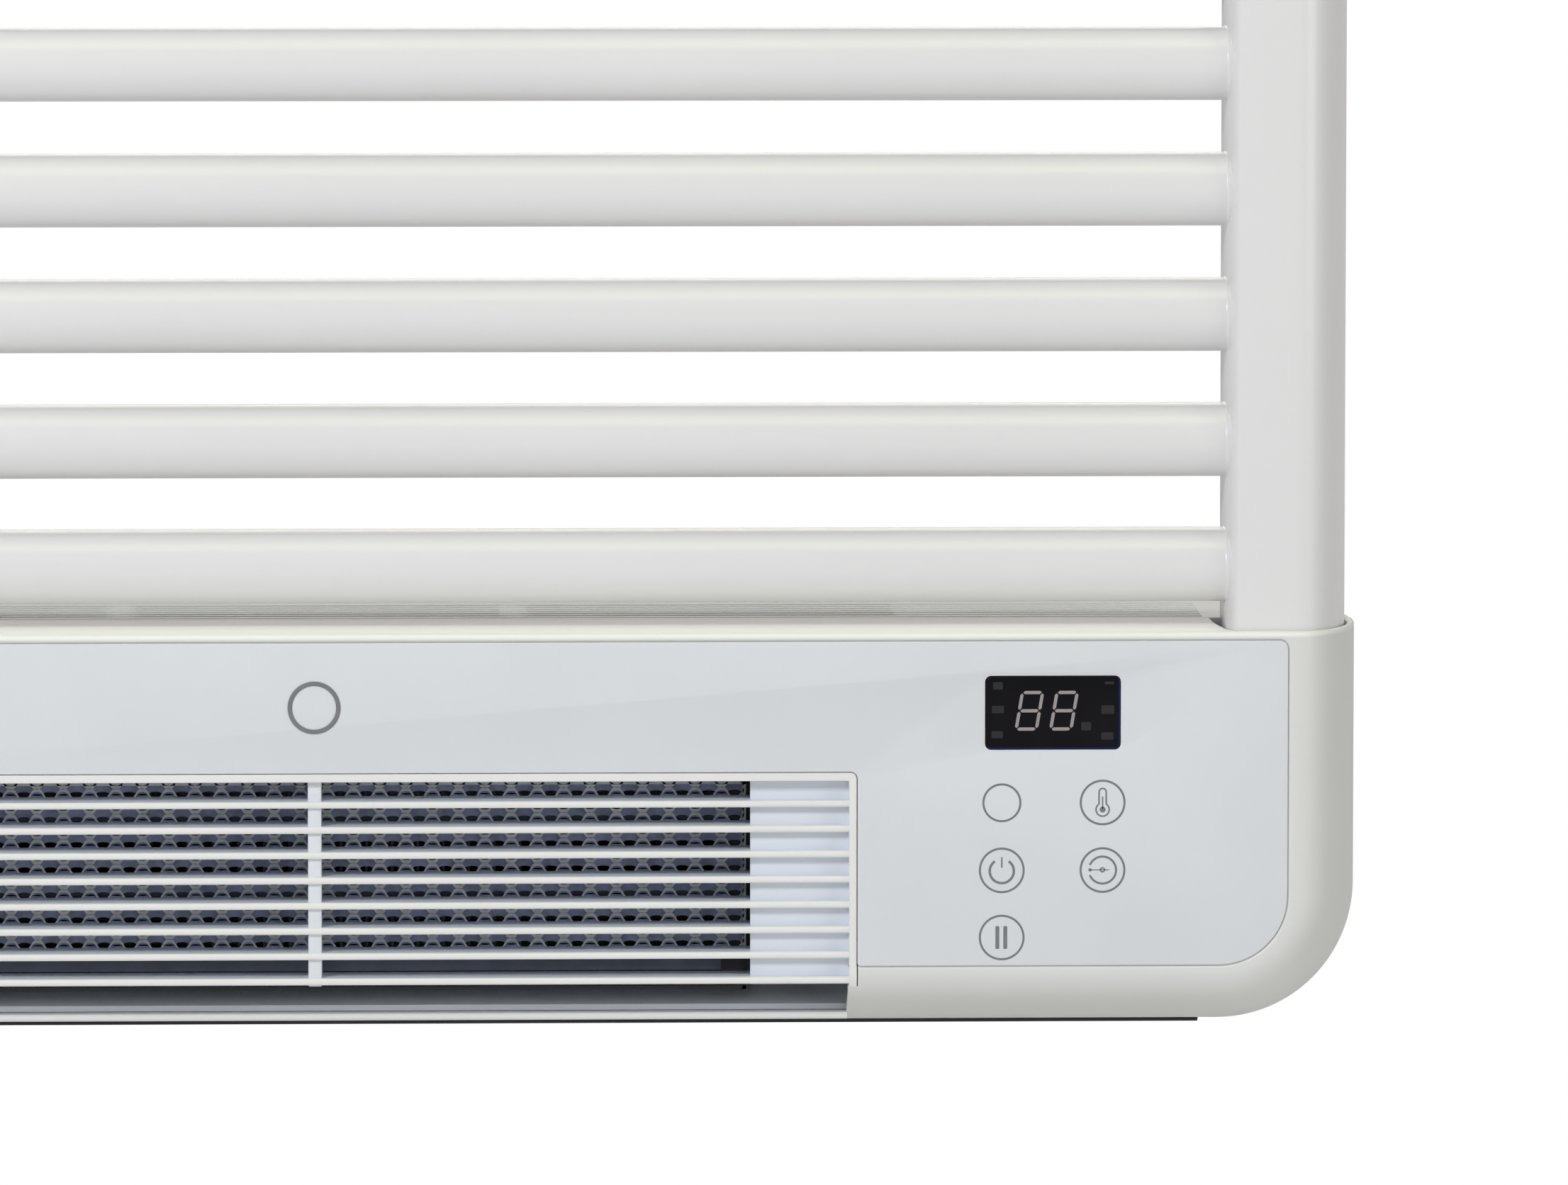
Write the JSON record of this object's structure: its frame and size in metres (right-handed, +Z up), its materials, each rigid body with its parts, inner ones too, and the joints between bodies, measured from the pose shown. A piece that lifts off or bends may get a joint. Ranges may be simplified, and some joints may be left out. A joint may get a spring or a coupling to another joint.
{
  "type": "electric towel radiator with fan heater",
  "caption": "Wall-hung electric towel radiator: oval bars between two collectors, with a fan-heater housing, air grille and touch panel across its foot.",
  "frame": {"origin": "middle of the four wall-foot screw holes, on the wall plane", "axes": "+X along the bars to the right as seen from the room, +Y into the wall, +Z up"},
  "size_m": [0.56, 0.1123, 0.9538],
  "materials": {
    "white_enamel": "satin baked enamel, warm white",
    "cover_plastic": "fine satin moulding, warm white",
    "foot_plastic": "satin moulding",
    "fascia_plastic": "smooth cool white panel",
    "grille_plastic": "satin moulding, white",
    "duct_plastic": "satin moulding, light grey",
    "filter_plastic": "satin moulding, light grey",
    "rocker_plastic": "polished moulding, white",
    "filter_net": "fine woven nylon net",
    "grey_print": "flat dark grey",
    "dark_window": "polished smoked lens",
    "dark_plastic": "satin black moulding",
    "heater_metal": "dull dark metal",
    "zinc_steel": "zinc plated",
    "motor_steel": "stacked laminations",
    "brass_fitting": "turned brass",
    "copper_foil": "etched foil",
    "green_board": "solder-masked board",
    "nylon": "natural nylon",
    "black_rubber": "dull black"
  },
  "bodies": {
    "radiator": {"bar_01": "white_enamel", "bar_02": "white_enamel", "bar_03": "white_enamel", "bar_04": "white_enamel", "bar_05": "white_enamel", "bar_06": "white_enamel", "bar_07": "white_enamel", "bar_08": "white_enamel", "bar_09": "white_enamel", "bar_10": "white_enamel", "bar_11": "white_enamel", "bar_12": "white_enamel", "bar_13": "white_enamel", "bar_14": "white_enamel", "bar_15": "white_enamel", "bar_16": "white_enamel", "bar_17": "white_enamel", "bar_18": "white_enamel", "bar_19": "white_enamel", "wall_foot_low_left": "foot_plastic", "wall_foot_low_right": "foot_plastic", "wall_foot_high_left": "foot_plastic", "wall_foot_high_right": "foot_plastic", "left_collector": "white_enamel", "right_collector": "white_enamel", "left_top_cap": "white_enamel", "right_top_cap": "white_enamel", "immersion_heater": "brass_fitting", "heater_gasket": "black_rubber", "blind_plug": "brass_fitting", "bracket_stems": "white_enamel", "foot_set_screws": "zinc_steel", "front_cover": "cover_plastic", "rear_cover": "cover_plastic", "fascia_panel": "fascia_plastic", "badge_ring": "grey_print", "display_window": "dark_window", "display_module": "dark_plastic", "touch_foil": "copper_foil", "control_board": "green_board", "power_board": "green_board", "board_spacers": "nylon", "terminal_block": "nylon", "outlet_grille": "grille_plastic", "heater_guard": "heater_metal", "heater_frame": "zinc_steel", "heater_element": "heater_metal", "fan_bush": "black_rubber", "fan_motor": "motor_steel", "motor_bracket": "zinc_steel", "fan_scroll": "duct_plastic", "thermal_cutout": "nylon", "switch_housing": "filter_plastic", "cable_gland": "black_rubber", "cover_screws": "zinc_steel"},
    "fan": {"fan_rotor": "dark_plastic", "fan_shaft": "zinc_steel"},
    "filter": {"filter_frame": "filter_plastic", "filter_mesh": "filter_net"},
    "rocker": {"switch_rocker": "rocker_plastic"}
  },
  "joints": [
    {"name": "fan_spin", "type": "hinge", "parent": "radiator", "child": "fan", "pos_m": [0, -0.047, -0.553], "axis": [1, 0, 0], "continuous": true},
    {"name": "filter_slide", "type": "slide", "parent": "radiator", "child": "filter", "axis": [1, 0, 0], "range_m": [0, 0.3]},
    {"name": "rocker_tilt", "type": "hinge", "parent": "radiator", "child": "rocker", "pos_m": [0.27371, -0.04026, -0.54], "axis": [0.2588, -0.9659, 0], "range_deg": [0, 18]}
  ]
}
